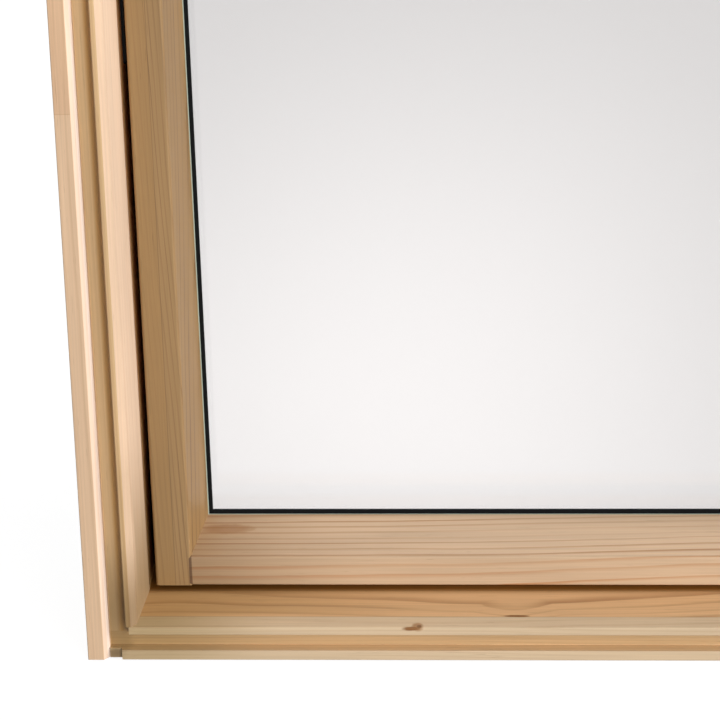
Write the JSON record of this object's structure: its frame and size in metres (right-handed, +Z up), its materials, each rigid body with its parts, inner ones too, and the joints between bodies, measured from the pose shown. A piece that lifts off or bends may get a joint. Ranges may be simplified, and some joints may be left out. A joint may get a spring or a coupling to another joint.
{
  "type": "centre pivot window",
  "caption": "Timber centre pivot roof window, closed: grooved pine frame, splayed pine sash, double glazing with a black gasket, side pivots and grey outer covers.",
  "frame": {"origin": "centre of the frame's underside, at half the depth of the wood", "axes": "+X to the right seen from the room, +Y out of the room, +Z up along the window"},
  "size_m": [0.78, 0.1195, 1.18],
  "materials": {
    "frame_pine": "clear lacquered pine",
    "sash_pine": "clear lacquered pine",
    "clear_glass": "clear float glass",
    "spacer_metal": "mill finish",
    "black_rubber": "matt",
    "black_steel": "satin black",
    "grey_sheet": "satin grey coating",
    "bar_metal": "satin"
  },
  "bodies": {
    "root": {"frame_left_stile": "frame_pine", "frame_right_stile": "frame_pine", "frame_bottom_rail": "frame_pine", "frame_top_rail": "frame_pine", "sash_left_stile": "sash_pine", "sash_right_stile": "sash_pine", "sash_bottom_rail": "sash_pine", "sash_top_rail": "sash_pine", "inner_pane": "clear_glass", "outer_pane": "clear_glass", "glass_spacer": "spacer_metal", "inner_gasket": "black_rubber", "outer_glazing_seal": "black_rubber", "frame_seal": "black_rubber", "left_frame_hinge_plate": "black_steel", "right_frame_hinge_plate": "black_steel", "left_sash_hinge_plate": "black_steel", "right_sash_hinge_plate": "black_steel", "left_pivot_pin": "black_steel", "right_pivot_pin": "black_steel", "bottom_cover": "grey_sheet", "top_hood": "grey_sheet", "bottom_sash_cover": "grey_sheet", "top_sash_cover": "grey_sheet", "left_lower_side_cover": "grey_sheet", "right_lower_side_cover": "grey_sheet", "left_upper_side_cover": "grey_sheet", "right_upper_side_cover": "grey_sheet", "left_sash_cover": "grey_sheet", "right_sash_cover": "grey_sheet", "control_bar": "bar_metal", "left_bar_arm": "bar_metal", "right_bar_arm": "bar_metal", "latch_case": "bar_metal", "strike_plate": "bar_metal"}
  },
  "joints": []
}
